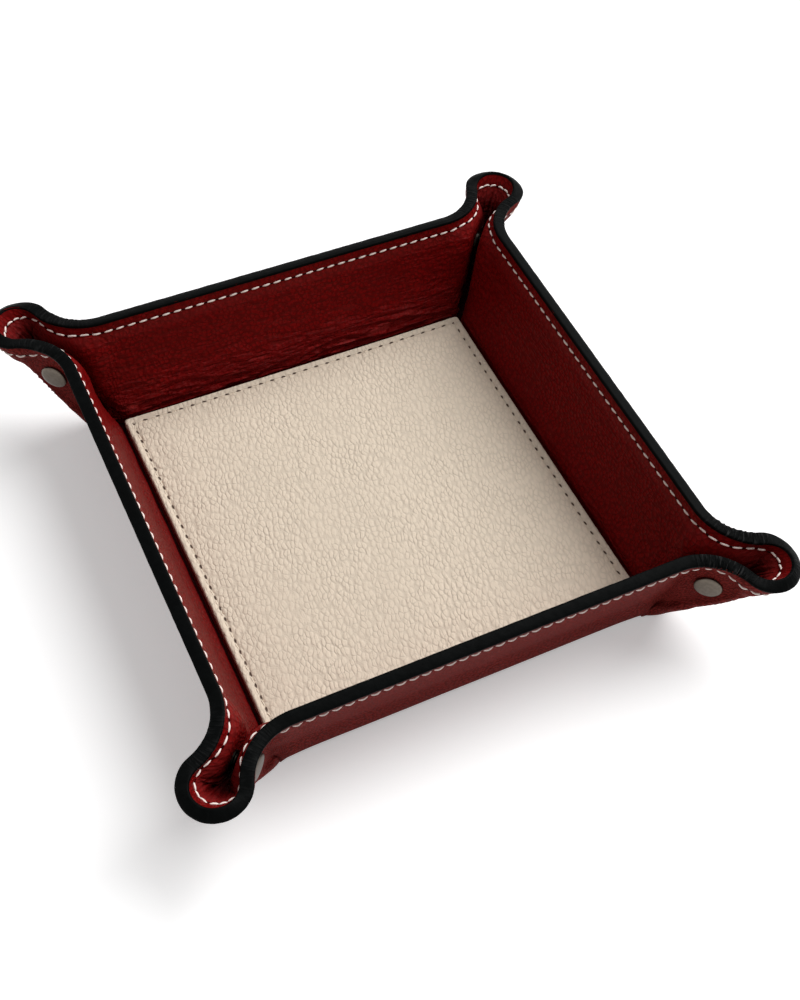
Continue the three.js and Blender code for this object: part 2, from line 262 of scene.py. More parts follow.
# The outer leather turns over the foot of each wall and the low side of each ear in a fuller round
def outerFull(wall, station, length):
    angle = np.minimum(length / bendRadius, bendAngle)
    floorRoom = ((bendRadius + half) * (1 - np.cos(angle)) - fullLook["floorGap"]) / np.cos(angle)
    size = np.abs(station)
    low = faded(length, *fullLook["footLow"])
    foot = fullLook["foot"] + fullLook["corner"] * smooth(size, *fullLook["cornerBand"])
    endStart, endStop = fullLook["footEnds"]
    gone = smooth(size, endStart, endStop + fullLook["footTrail"] * low)
    foot = foot * (1 - (1 - fullLook["footKept"] * low) * gone)
    foot = foot * faded(length, *(bendLength + offset for offset in fullLook["footFade"]))
    begin = fullLook["earBegin"] + fullLook["earShift"] * smooth(length, *fullLook["earShiftBand"])
    top = earValue(fullLook["earTop"], wall, station)
    ear = earValue(fullLook["ear"], wall, station) * smooth(size, begin, begin + fullLook["earSpan"])
    ear = ear * faded(length, top - fullLook["earFade"], top)
    return np.maximum(np.minimum(floorRoom, foot + ear), 0)


# From the back wall's frame, in which the sheet is worked out, to a wall's place
def turned(points, wall):
    angle = -math.pi / 2 * wallNames.index(wall)
    cosine, sine = math.cos(angle), math.sin(angle)
    x = points[..., 0] * cosine - points[..., 1] * sine
    y = points[..., 0] * sine + points[..., 1] * cosine
    return np.stack([x, y, points[..., 2]], axis=-1)


def noiseField(points, scale):
    flat = points.reshape(-1, 3) / scale
    values = [noise.noise(Vector(place)) for place in flat.tolist()]
    return np.array(values).reshape(points.shape[:-1])


# Meshes; plainFields are what the materials read where a piece has no stitches, folds or shade
plainFields = {"stitchRun": 0.0, "stitchOff": 50.0, "creased": 0.0, "puckered": 0.0, "paintedShade": 0.0}
sharpAngle = math.radians(50)


def makePiece(name, points, faces, material, fields=None):
    mesh = bpy.data.meshes.new(name)
    places = np.asarray(points, dtype=float).reshape(-1, 3) * mm
    mesh.from_pydata(places.tolist(), [], [list(face) for face in faces])
    mesh.materials.append(material)
    markRest(mesh)
    plain = {**plainFields, "sheetRun": places[:, 0] / mm, "sheetUp": places[:, 1] / mm}
    for key, values in {**plain, **(fields or {})}.items():
        attribute = mesh.attributes.new(key, "FLOAT", "POINT")
        filled = np.broadcast_to(np.asarray(values, dtype=np.float32).reshape(-1), (len(places),))
        attribute.data.foreach_set("value", np.ascontiguousarray(filled))
    mesh.polygons.foreach_set("use_smooth", [True] * len(mesh.polygons))
    mesh.set_sharp_from_angle(angle=sharpAngle)
    return linked(name, mesh)


def linked(name, data):
    item = bpy.data.objects.new(name, data)
    scene.collection.objects.link(item)
    return item


# The place of each point at rest, so that the grain doesn't slide when the walls turn
def markRest(mesh):
    places = np.empty(len(mesh.vertices) * 3, dtype=np.float32)
    mesh.vertices.foreach_get("co", places)
    attribute = mesh.attributes.get("restPlace") or mesh.attributes.new("restPlace", "FLOAT_VECTOR", "POINT")
    attribute.data.foreach_set("vector", places)


# Closed shell between two grids of the same size
def shellFaces(rows, cols):
    index = np.arange(rows * cols).reshape(rows, cols)
    other = index + rows * cols
    faces = [
        np.stack([index[:-1, :-1], index[:-1, 1:], index[1:, 1:], index[1:, :-1]], -1).reshape(-1, 4),
        np.stack([other[:-1, :-1], other[1:, :-1], other[1:, 1:], other[:-1, 1:]], -1).reshape(-1, 4),
    ]
    for near, far in (
        (index[:, 0], other[:, 0]),
        (index[::-1, -1], other[::-1, -1]),
        (index[0, ::-1], other[0, ::-1]),
        (index[-1], other[-1]),
    ):
        faces.append(np.stack([near[:-1], near[1:], far[1:], far[:-1]], -1))
    return np.concatenate(faces).tolist()


# Rings joined into a tube-like surface, with a flat face at each end unless it is a closed loop
def ringFaces(rings, count, loop=False):
    faces = []
    for i in range(rings if loop else rings - 1):
        near, far = i * count, (i + 1) % rings * count
        for j in range(count):
            follow = (j + 1) % count
            faces.append((near + j, near + follow, far + follow, far + j))
    if not loop:
        faces.append(tuple(reversed(range(count))))
        faces.append(tuple(range((rings - 1) * count, rings * count)))
    return faces


# Materials
def addNode(tree, kind, links=None, **settings):
    item = tree.nodes.new(kind)
    for key, value in settings.items():
        setattr(item, key, value)
    for socket, value in (links or {}).items():
        if isinstance(value, bpy.types.NodeSocket):
            tree.links.new(value, item.inputs[socket])
        else:
            item.inputs[socket].default_value = value
    return item


def addMath(tree, operation, first, second=0.0, third=0.0):
    return addNode(tree, "ShaderNodeMath", {0: first, 1: second, 2: third}, operation=operation).outputs[0]


def addRange(tree, value, low, high, toLow=0.0, toHigh=1.0):
    links = {"Value": value, "From Min": low, "From Max": high, "To Min": toLow, "To Max": toHigh}
    return addNode(tree, "ShaderNodeMapRange", links, interpolation_type="SMOOTHSTEP").outputs["Result"]


def addMix(tree, share, first, second):
    return addNode(tree, "ShaderNodeMix", {0: share, 6: first, 7: second}, data_type="RGBA").outputs[2]


def addNoise(tree, vector, scale, detail, output="Fac"):
    links = {"Vector": vector, "Scale": scale, "Detail": detail}
    return addNode(tree, "ShaderNodeTexNoise", links).outputs[output]


def addField(tree, key):
    return addNode(tree, "ShaderNodeAttribute", attribute_name=key).outputs["Fac"]


def addScaled(tree, vector, scale):
    return addNode(tree, "ShaderNodeMapping", {"Vector": vector, "Scale": scale}).outputs["Vector"]


# Run along the sheet and height up it, in millimetres
def addSheet(tree):
    links = {"X": addField(tree, "sheetRun"), "Y": addField(tree, "sheetUp")}
    return addNode(tree, "ShaderNodeCombineXYZ", links).outputs["Vector"]


def addBump(tree, shader, height, depth, strength=1.0):
    links = {"Strength": strength, "Distance": depth * mm, "Height": height}
    bump = addNode(tree, "ShaderNodeBump", links)
    tree.links.new(bump.outputs["Normal"], shader.inputs["Normal"])


def addRough(tree, shader, value, look):
    lowest = look["roughness"] - look["roughSpread"] / 2
    rough = addMath(tree, "MULTIPLY_ADD", value, look["roughSpread"], lowest)
    tree.links.new(rough, shader.inputs["Roughness"])


def newMaterial(name, roughness, metallic=0.0):
    material = bpy.data.materials.new(name)
    material.use_nodes = True
    tree = material.node_tree
    shader = tree.nodes["Principled BSDF"]
    shader.inputs["Roughness"].default_value = roughness
    shader.inputs["Metallic"].default_value = metallic
    place = addNode(tree, "ShaderNodeAttribute", attribute_name="restPlace").outputs["Vector"]
    return material, tree, shader, place


def colourOf(text):
    values = [int(text[i:i + 2], 16) / 255 for i in (0, 2, 4)]
    return tuple(v / 12.92 if v <= 0.04045 else ((v + 0.055) / 1.055) ** 2.4 for v in values) + (1.0,)


def shaded(colour, factor):
    return tuple(min(v * factor, 1.0) for v in colour[:3]) + (1.0,)


# Leather: soft pebbles, broken crease lines, wrinkles of the folded sheet and dark needle holes, with painted
# shade in valleys and folds and painted highlights on ridges and gathers.
# What the three leathers share is here; what each has of its own comes after the function.
grainLook = {
    "drift": 330.0,
    "breaks": 260.0,
    "breakBand": (0.3, 0.55),
    "domeWidth": 0.4,
    "broad": 55.0,
    "broadBand": (0.3, 0.7),
    "broadRise": (0.55, 1.25),
    "foldScale": (0.06, 0.3, 1.0),
    "foldWidth": 0.16,
    "ridgeBand": (0.06, 0.2),
    "ridgeHighlight": 0.3,
    "gatherScale": (0.75, 0.12, 1.0),
    "gatherHighlight": 0.35,
    "holeStretch": 0.42,
    "holeCore": 0.5,
}


def leatherMaterial(name, look):
    material, tree, shader, place = newMaterial(name, look["roughness"])

    def times(first, second):
        return addMath(tree, "MULTIPLY", first, second)

    def most(first, second):
        return addMath(tree, "MAXIMUM", first, second)

    def vectorMath(operation, *values):
        links = dict(enumerate(values))
        return addNode(tree, "ShaderNodeVectorMath", links, operation=operation).outputs["Vector"]

    def cells(feature, **more):
        links = {"Vector": flow, "Scale": 1 / look["cell"], **more}
        settings = {"feature": feature, "voronoi_dimensions": "2D"}
        return addNode(tree, "ShaderNodeTexVoronoi", links, **settings).outputs["Distance"]

    drift = addNoise(tree, place, grainLook["drift"] / look["cell"], 3.0, "Color")
    centred = vectorMath("SUBTRACT", drift, (0.5,) * 3)
    sheet = addSheet(tree)
    shift = vectorMath("MULTIPLY_ADD", centred, (look["warp"],) * 3, sheet)
    flowTurn = (0.0, 0.0, math.radians(look["flowTurn"]))
    links = {"Vector": shift, "Rotation": flowTurn, "Scale": look["stretch"]}
    flow = addNode(tree, "ShaderNodeMapping", links, vector_type="TEXTURE").outputs["Vector"]
    far = cells("SMOOTH_F1", Smoothness=look["domeBlur"])
    dome = addRange(tree, far, look["flatTop"], look["flatTop"] + grainLook["domeWidth"])
    border = addRange(tree, cells("DISTANCE_TO_EDGE"), 0.0, look["valley"], 1.0, 0.0)
    breaks = addNoise(tree, place, grainLook["breaks"] / look["cell"], 2.0)
    line = times(border, addRange(tree, breaks, *grainLook["breakBand"]))
    fine = addNoise(tree, place, look["fineScale"], 3.0)
    broad = addNoise(tree, place, grainLook["broad"], 3.0)
    bed = addNoise(tree, addScaled(tree, sheet, grainLook["foldScale"]), 1.0, 3.0)
    away = addMath(tree, "ABSOLUTE", addMath(tree, "SUBTRACT", bed, 0.5))
    creased = addField(tree, "creased")
    fold = times(addRange(tree, away, 0.0, grainLook["foldWidth"], 1.0, 0.0), creased)
    ridge = times(addRange(tree, away, *grainLook["ridgeBand"]), creased)
    gather = addNoise(tree, addScaled(tree, sheet, grainLook["gatherScale"]), 1.0, 2.0)
    pucker = times(gather, addField(tree, "puckered"))
    nearest = addMath(tree, "PINGPONG", addField(tree, "stitchRun"), 0.5)
    acrossRun = times(nearest, look["pitch"] * grainLook["holeStretch"])
    off = addField(tree, "stitchOff")
    squares = addMath(tree, "MULTIPLY_ADD", acrossRun, acrossRun, times(off, off))
    core = look["holeRadius"] * grainLook["holeCore"]
    hole = addRange(tree, addMath(tree, "SQRT", squares), core, look["holeRadius"], 1.0, 0.0)
    wisps = addNoise(tree, flow, 1 / look["wispSize"], 3.0)
    uneven = times(dome, addRange(tree, broad, *grainLook["broadBand"], *grainLook["broadRise"]))

    height = addMath(tree, "MULTIPLY_ADD", fine, look["fineRise"], 0.0)
    for value, rise in (
        (uneven, -look["domeRise"]),
        (wisps, look["wispRise"]),
        (line, -look["lineDepth"]),
        (fold, -look["foldDepth"]),
        (pucker, look["puckerRise"]),
        (hole, -look["holeDepth"]),
    ):
        height = addMath(tree, "MULTIPLY_ADD", value, rise, height)
    addBump(tree, shader, height, 1.0)

    base = colourOf(look["colour"])
    tone = addMix(tree, addRange(tree, broad, *grainLook["broadBand"]), base, shaded(base, look["paleShade"]))
    # Pebble valleys and crease lines darker, partly the grain's own tone and partly painted shade; wrinkle
    # valleys darker as painted shade
    sunk = most(times(dome, look["domeShade"]), most(line, addMath(tree, "POWER", fold, 2.0)))
    holeAndShadeColour, highlightColour = colourOf(look["holeAndShadeColour"]), colourOf(look["highlightColour"])
    # Painted highlights on wrinkle ridges and raised gathers, the lining's painted shade field, and dark
    # needle holes
    for share, colour in (
        (sunk, shaded(base, look["valleyShade"])),
        (times(ridge, grainLook["ridgeHighlight"]), highlightColour),
        (addField(tree, "paintedShade"), holeAndShadeColour),
        (times(pucker, grainLook["gatherHighlight"]), highlightColour),
        (hole, holeAndShadeColour),
    ):
        tone = addMix(tree, share, tone, colour)
    tree.links.new(tone, shader.inputs["Base Color"])
    addRough(tree, shader, fine, look)
    shader.inputs["Specular IOR Level"].default_value = look["specular"]
    return material


redOuterLook = {
    "colour": "7a2723",
    "cell": 1.3,
    "wispSize": 2.0,
    "wispRise": 0.1,
    "stretch": (1.0, 1.0, 1.0),
    "flowTurn": 0.0,
    "warp": 0.6,
    "valley": 0.2,
    "domeRise": 0.2,
    "domeBlur": 0.2,
    "flatTop": 0.2,
    "domeShade": 1.0,
    "lineDepth": 0.08,
    "fineScale": 2600.0,
    "fineRise": 0.02,
    "foldDepth": 0.1,
    "puckerRise": 0.12,
    "holeDepth": 0.25,
    "roughness": 0.62,
    "roughSpread": 0.14,
    "specular": 0.03,
    "valleyShade": 0.56,
    "paleShade": 1.2,
    "highlightColour": "7c2a28",
    "pitch": 4.7,
    "holeRadius": 0.62,
    "holeAndShadeColour": "1c0203",
}
redLiningLook = {
    **redOuterLook,
    "colour": "740808",
    "cell": 1.9,
    "wispRise": 0.22,
    "warp": 1.8,
    "domeRise": 0.18,
    "domeShade": 0.9,
    "lineDepth": 0.04,
    "foldDepth": 1.2,
    "roughness": 0.5,
    "specular": 0.05,
    "valleyShade": 0.68,
    "holeRadius": 0.46,
    "highlightColour": "9c3634",
}
padLook = {
    **redOuterLook,
    "colour": "dccdb9",
    "cell": 1.6,
    "wispSize": 2.8,
    "wispRise": 0.24,
    "stretch": (1.0, 1.9, 1.0),
    "flowTurn": -14.0,
    "warp": 2.6,
    "valley": 0.16,
    "domeRise": 0.16,
    "domeBlur": 0.12,
    "flatTop": 0.26,
    "domeShade": 0.6,
    "lineDepth": 0.045,
    "fineScale": 1500.0,
    "fineRise": 0.1,
    "roughness": 0.6,
    "roughSpread": 0.12,
    "specular": 0.2,
    "valleyShade": 0.87,
    "paleShade": 1.04,
    "pitch": 4.86,
    "holeRadius": 0.5,
    "holeDepth": 0.4,
    "holeAndShadeColour": "55443a",
}
redOuter = leatherMaterial("red outer leather", redOuterLook)
redLining = leatherMaterial("red lining leather", redLiningLook)
padLeather = leatherMaterial("beige pad leather", padLook)


# Edge paint: satin black with faint lumps, and painted highlights on the wrinkles across it where the neck
# bends
edgeLook = {
    "colour": "050606",
    "wrinkleHighlight": "2b2b2b",
    "wrinkleHighlightBand": (0.52, 0.68),
    "roughness": 0.42,
    "roughSpread": 0.2,
    "specular": 0.02,
    "lumpScale": 420.0,
    "lumpBand": (0.35, 0.75),
    "lumpShade": 1.7,
    "speckScale": 2600.0,
    "speckRise": 0.25,
    "bumpDepth": 0.18,
    "lineScale": (1.1, 0.16, 1.0),
    "lineRise": 28 / 3,
}


def edgeMaterial():
    material, tree, shader, place = newMaterial("black edge paint", edgeLook["roughness"])
    lumps = addNoise(tree, place, edgeLook["lumpScale"], 4.0)
    speck = addNoise(tree, place, edgeLook["speckScale"], 2.0)
    bent = addField(tree, "puckered")
    lined = addNoise(tree, addScaled(tree, addSheet(tree), edgeLook["lineScale"]), 1.0, 3.0)
    wrinkle = addMath(tree, "MULTIPLY", lined, addMath(tree, "MULTIPLY", bent, edgeLook["lineRise"]))
    height = addMath(tree, "MULTIPLY_ADD", speck, edgeLook["speckRise"], lumps)
    addBump(tree, shader, addMath(tree, "ADD", height, wrinkle), edgeLook["bumpDepth"])
    base = colourOf(edgeLook["colour"])
    pale = shaded(base, edgeLook["lumpShade"])
    tone = addMix(tree, addRange(tree, lumps, *edgeLook["lumpBand"]), base, pale)
    # Lighter ridges of the neck wrinkles: a painted highlight
    wrinkleHighlight = addMath(tree, "MULTIPLY", addRange(tree, lined, *edgeLook["wrinkleHighlightBand"]), bent)
    tone = addMix(tree, wrinkleHighlight, tone, colourOf(edgeLook["wrinkleHighlight"]))
    tree.links.new(tone, shader.inputs["Base Color"])
    addRough(tree, shader, speck, edgeLook)
    shader.inputs["Specular IOR Level"].default_value = edgeLook["specular"]
    return material


# Waxed thread with a fine uneven lay
threadLook = {
    "rim": "fff0e8",
    "pad": "d9cbb8",
    "roughness": 0.6,
    "layScale": 2400.0,
    "layBand": (0.3, 0.6),
    "layShade": 0.92,
    "layDepth": 0.1,
    "layStrength": 0.4,
}


def threadMaterial(name, colour):
    material, tree, shader, place = newMaterial(name, threadLook["roughness"])
    lay = addNoise(tree, place, threadLook["layScale"], 2.0)
    addBump(tree, shader, lay, threadLook["layDepth"], threadLook["layStrength"])
    base = colourOf(colour)
    shade = shaded(base, threadLook["layShade"])
    tone = addMix(tree, addRange(tree, lay, *threadLook["layBand"]), shade, base)
    tree.links.new(tone, shader.inputs["Base Color"])
    return material


# Nickel plate: satin, with faint wear
nickelLook = {
    "cap": "675f56",
    # inner: the same nickel painted dark, as painted shade for the snap parts deep in the fold
    "inner": "1e1b18",
    "roughness": 0.36,
    "roughSpread": 0.2,
    "wearScale": 900.0,
    "wearBand": (0.35, 0.65),
    "wearShade": 0.8,
    "wearDepth": 0.03,
    "wearStrength": 0.15,
}


def nickelMaterial(name, colour):
    material, tree, shader, place = newMaterial(name, nickelLook["roughness"], 1.0)
    wear = addNoise(tree, place, nickelLook["wearScale"], 5.0)
    base = colourOf(colour)
    dull = shaded(base, nickelLook["wearShade"])
    tone = addMix(tree, addRange(tree, wear, *nickelLook["wearBand"]), dull, base)
    tree.links.new(tone, shader.inputs["Base Color"])
    addRough(tree, shader, wear, nickelLook)
    addBump(tree, shader, wear, nickelLook["wearDepth"], nickelLook["wearStrength"])
    return material


blackEdge = edgeMaterial()
rimThread = threadMaterial("pale rim thread", threadLook["rim"])
padThread = threadMaterial("cream pad thread", threadLook["pad"])
nickel = nickelMaterial("warm nickel", nickelLook["cap"])
# Socket and stud sit deep in the fold; their nickel is painted much darker as painted shade
paintedShadeNickel = nickelMaterial("inner nickel painted dark for shade", nickelLook["inner"])
print("materials made")


# Rim stitches: counts are for a wall and for half a loop, bow is the sideways sag of the thread
rimStitch = {
    "drop": 5.0,
    "wallCount": 46,
    "loopCount": 3,
    "lengthOuter": 3.25,
    "lengthInner": 3.05,
    "radius": 0.38,
    "arch": 0.62,
    "sink": 0.35,
    "bowOuter": 0.85,
    "bowInner": 0.12,
    "bowLoop": 0.6,
    "loopShare": 0.9,
    "slant": 4.0,
    "liftOuter": 0.08,
    "liftInner": 0.0,
    "pathSteps": 12,
    "lineSteps": 600,
}
stitchLength = rimLength - rimStitch["drop"]

# Relief of the leathers: a groove under the stitches, soft waves, creases along the foot, pleats in the loops
reliefLook = {
    "groove": 0.22,
    "grooveWidth": 0.9,
    "wave": 0.16,
    "waveStart": (2.0, 12.0),
    "outerWaveSize": 17.0,
    "outerWaveEnd": (36.0, 44.0),
    "liningWaveSize": 14.0,
    "liningWaveShare": 0.7,
    "crease": {"back": 2.0, "right": 0.45, "front": 0.4, "left": 0.45},
    "creaseStart": (2.0, 6.0),
    "creaseEnd": (8.0, 30.0),
    "creaseSize": (20.0, 3.2),
    "creaseLeast": 0.35,
    "creaseDrift": 2.5,
    "driftSize": (30.0, 20.0),
    "pleat": 1.5,
    "pleatSize": (2.1, 40.0),
    "smallPleatSize": (0.9, 20.0),
    "smallPleat": 0.4,
    "pleatStations": (1.58, 1.76),
    "pleatStart": (10.0, 24.0),
    "pleatEase": 0.85,
    "pleatEaseBand": (-7.0, -1.0),
    "pleatTop": 1.2,
}
noiseLayer = 7.0


def grooveRelief(length):
    return -reliefLook["groove"] * np.exp(-((length - stitchLength) / reliefLook["grooveWidth"]) ** 2)


def creaseBand(length):
    return smooth(length, *reliefLook["creaseStart"]) * faded(length, *reliefLook["creaseEnd"])


def outerRelief(wall, station, length):
    wave = reliefLook["wave"] * noiseField(turned(middle(station, length), wall), reliefLook["outerWaveSize"])
    wave = wave * smooth(length, *reliefLook["waveStart"]) * faded(length, *reliefLook["outerWaveEnd"])
    return grooveRelief(length) + wave


# Run along the sheet from the middle of a wall
def sheetRun(station):
    size = np.abs(station)
    onEar = np.sign(station) * (filletX + (size - 1) * earLength)
    return np.where(size <= 1, station * filletX, onEar)


def sheetNoise(wall, station, length, size):
    run = sheetRun(station)
    layer = np.full_like(run, noiseLayer + wallNames.index(wall))
    return noiseField(np.stack([run / size[0], length / size[1], layer], -1), 1.0)


def liningRelief(wall, station, length):
    places = turned(middle(station, length), wall)
    share = reliefLook["liningWaveShare"] * reliefLook["wave"]
    wave = share * noiseField(places, reliefLook["liningWaveSize"])
    drift = reliefLook["creaseDrift"] * sheetNoise(wall, station, length, reliefLook["driftSize"])
    ridge = 1 - 2 * np.abs(sheetNoise(wall, station, length + drift, reliefLook["creaseSize"]))
    raised = np.maximum(ridge - reliefLook["creaseLeast"], 0)
    crease = reliefLook["crease"][wall] * raised * creaseBand(length)
    pleat = reliefLook["pleat"] * pleatField(wall, station, length)
    return grooveRelief(length) + wave * smooth(length, *reliefLook["waveStart"]) + crease + pleat


# Irregular pleats where the lining gathers round a loop
def pleatField(wall, station, length):
    fold = sheetNoise(wall, station, length, reliefLook["pleatSize"])
    small = sheetNoise(wall, station, length, reliefLook["smallPleatSize"])
    fold = fold + reliefLook["smallPleat"] * small
    window = smooth(np.abs(station), *reliefLook["pleatStations"]) * smooth(length, *reliefLook["pleatStart"])
    easeStart, easeEnd = (stitchLength + offset for offset in reliefLook["pleatEaseBand"])
    eased = 1 - reliefLook["pleatEase"] * smooth(length, easeStart, easeEnd)
    return fold * window * eased * faded(length, easeEnd, leatherTop - reliefLook["pleatTop"])


# Steps of the leather meshes: up the sheet, closer about the stitches, and along it
meshLook = {
    "lowTop": 26.0,
    "lowStep": 0.6,
    "highStep": 1.0,
    "highEnd": 0.4,
    "rowBand": 2.0,
    "rowStep": 0.4,
    "rowClear": 2.3,
    "topRows": (-0.1, 0.35),
    "wallSteps": 62,
    "earStep": 0.8,
    "loopSteps": 34,
}


def spacedLengths():
    low, band, step = meshLook["lowTop"], meshLook["rowBand"], meshLook["rowStep"]
    coarse = list(np.arange(0.0, low, meshLook["lowStep"]))
    coarse += list(np.arange(low, leatherTop - meshLook["highEnd"], meshLook["highStep"]))
    close = list(np.arange(stitchLength - band, stitchLength + band + step / 2, step))
    values = [v for v in coarse if abs(v - stitchLength) > meshLook["rowClear"]] + close
    return np.array(sorted(values + [leatherTop + offset for offset in meshLook["topRows"]]))


def wallSpan():
    ear = np.arange(1.0, loopStart, meshLook["earStep"] / earLength)
    flat = np.linspace(0.0, 1.0, meshLook["wallSteps"])[:-1]
    right = np.concatenate([flat, ear, [loopStart]])
    return np.concatenate([-right[:0:-1], right])


def loopSpan(sign):
    span = np.linspace(loopStart, 2.0, meshLook["loopSteps"])
    return span if sign > 0 else -span[::-1]


def runAlong(line):
    return np.concatenate([[0.0], np.cumsum(np.linalg.norm(np.diff(line, axis=0), axis=1))])


def stitchPlaces(stations, out):
    line = np.full_like(stations, stitchLength)
    point, normal, _ = sheetFrame(stations, line)
    return point + normal * out


# Where each stitch hole falls along a face of the sheet
def stitchFields(stations, lengths, out, count):
    run = runAlong(stitchPlaces(stations, out))
    share = run / run[-1] * count
    off = np.broadcast_to(lengths - stitchLength, (len(stations), len(lengths)))
    return np.repeat(share[:, None], len(lengths), 1), off


# Shade painted into the lining: dark at the foot, in the closed folds and loops, between pleats, and on the
# left wall towards the bottom
shadeLook = {
    "pleat": 1.6,
    "pleatMost": 0.75,
    "foot": 0.9,
    "footBand": (1.0, 4.0),
    "low": {"back": 0.0, "right": 0.0, "front": 0.0, "left": 0.34},
    "lowEase": 0.6,
    "lowBand": (8.0, 42.0),
    "deep": 0.97,
    "deepStations": (1.35, 1.6),
    "deepBand": (34.0, 51.0),
    "creased": 0.6,
    "creasedHigh": 0.25,
    "creasedHighBand": (20.0, 30.0),
    "creasedClear": 4.0,
    "puckerStart": (0.2, 1.0),
    "puckerEnd": (2.0, 6.0),
    "puckerOuter": 0.35,
}
wallRunStep = 260.0
floorClear = 0.02


def liningShade(wall, station, length):
    pleats = np.clip(-shadeLook["pleat"] * pleatField(wall, station, length), 0, shadeLook["pleatMost"])
    foot = shadeLook["foot"] * faded(length, *shadeLook["footBand"])
    low = shadeLook["low"][wall] * (1 - shadeLook["lowEase"] * smooth(length, *shadeLook["lowBand"]))
    inFold = smooth(np.abs(station), *shadeLook["deepStations"])
    deep = shadeLook["deep"] * inFold * faded(length, *shadeLook["deepBand"])
    return np.maximum(np.maximum(np.maximum(foot, low), deep), pleats)


def liningCreases(wall, length):
    creased = shadeLook["creased"] * reliefLook["crease"][wall] * creaseBand(length)
    high = shadeLook["creasedHigh"] * smooth(length, *shadeLook["creasedHighBand"])
    return creased + high * (stitchLength - length > shadeLook["creasedClear"])


# One face of a stretch of the sheet, as a closed shell from the sheet's middle; side is 1 outside, -1 inside
def leatherSkin(name, wall, stations, count, side, material):
    lengths = spacedLengths()
    station, length = np.meshgrid(stations, lengths, indexing="ij")
    point, normal, _ = sheetFrame(station, length)
    if side > 0:
        depth = half + outerFull(wall, station, length) + outerRelief(wall, station, length)
        face = point + normal * depth[..., None]
        face[..., 2] = np.maximum(face[..., 2], floorClear)
    else:
        depth = liningDepth(station, length) + liningRelief(wall, station, length)
        face = point - normal * depth[..., None]
    run, off = stitchFields(stations, lengths, side * half, count)
    below = stitchLength - length
    puckered = smooth(below, *shadeLook["puckerStart"]) * faded(below, *shadeLook["puckerEnd"])
    shown = {
        "stitchRun": run,
        "stitchOff": off,
        "sheetRun": sheetRun(station) + wallRunStep * wallNames.index(wall),
        "sheetUp": length,
        "creased": liningCreases(wall, length) * (side < 0),
        "puckered": puckered * (1.0 if side < 0 else shadeLook["puckerOuter"]),
        "paintedShade": liningShade(wall, station, length) * (side < 0),
    }
    fields = {}
    for key, values in shown.items():
        hidden = np.full(station.size, plainFields.get(key, 0.0))
        parts = [np.asarray(values, dtype=float).reshape(-1), hidden]
        fields[key] = np.concatenate(parts[::side])
    grids = [face, point][::side]
    points = np.concatenate([turned(grid, wall).reshape(-1, 3) for grid in grids])
    faces = [corners[::-1] for corners in shellFaces(*station.shape)]
    return makePiece(name, points, faces, material, fields)


# Painted edge: a bead over the top of both leathers, wrinkled where the neck bends
beadLook = {
    "steps": 15,
    "overlap": 0.12,
    "skirt": 0.5,
    "roundness": 0.42,
    "lumps": 0.06,
    "lumpSize": 2.6,
    "wrinkle": 0.3,
    "wrinkleStep": 2.3,
    "wrinkleWide": 0.12,
    "wrinkleDrift": 2.2,
    "driftSize": 3.0,
    "wrinkleStart": (1.08, 1.22),
    "wrinkleEnd": (1.42, 1.6),
    "wrinkleAcross": (-0.5, 1.8),
    "lineStart": (1.05, 1.3),
    "lineEnd": (1.5, 1.68),
    "lineEase": 0.85,
    "neck": {"back_right": 0.4, "front_right": 1.0, "front_left": 0.25, "back_left": 0.4},
}


def edgeBead(name, wall, stations):
    angles = np.linspace(0, math.pi, beadLook["steps"])
    outs = (half + beadLook["overlap"]) * np.cos(angles)
    ups = sheetLook["coatHeight"] * np.sin(angles) ** beadLook["roundness"]
    outs = np.concatenate([[outs[0]], outs, [outs[-1]]])
    ups = np.concatenate([[-beadLook["skirt"]], ups, [-beadLook["skirt"]]])
    station, out = np.meshgrid(stations, outs, indexing="ij")
    up = np.broadcast_to(ups, station.shape)
    point, normal, lift = sheetFrame(station, np.full_like(station, leatherTop))
    size = np.abs(station)
    run = (size - 1) * earLength
    bent = earValue(beadLook["neck"], wall, station)
    bend = bent * smooth(size, *beadLook["wrinkleStart"]) * faded(size, *beadLook["wrinkleEnd"])
    bend = bend * smooth(out, *beadLook["wrinkleAcross"])
    drift = beadLook["wrinkleDrift"] * noiseField(turned(point, wall), beadLook["driftSize"])
    ripple = np.sin(run / beadLook["wrinkleStep"] * 2 * math.pi + drift)
    places = turned(point + normal * out[..., None], wall)
    lump = beadLook["lumps"] * noiseField(places, beadLook["lumpSize"])
    raised = up + (lump + beadLook["wrinkle"] * bend * ripple) * (up > 0)
    wide = out * (1 + (lump + beadLook["wrinkleWide"] * beadLook["wrinkle"] * bend * ripple) / half)
    points = turned(point + normal * wide[..., None] + lift * raised[..., None], wall)
    lined = bent * smooth(size, *beadLook["lineStart"])
    lined = lined * (1 - beadLook["lineEase"] * smooth(size, *beadLook["lineEnd"]))
    sheetPlace = sheetRun(station) + wallRunStep * wallNames.index(wall)
    fields = {"sheetRun": sheetPlace, "sheetUp": out, "puckered": lined}
    return makePiece(name, points, ringFaces(len(stations), len(outs)), blackEdge, fields)


# Stitch rows: a bent thread repeated along a path that carries the direction of the leather's face
threadMesh = {"arcSteps": 10, "sides": 8, "lean": 0.05, "seed": 4}


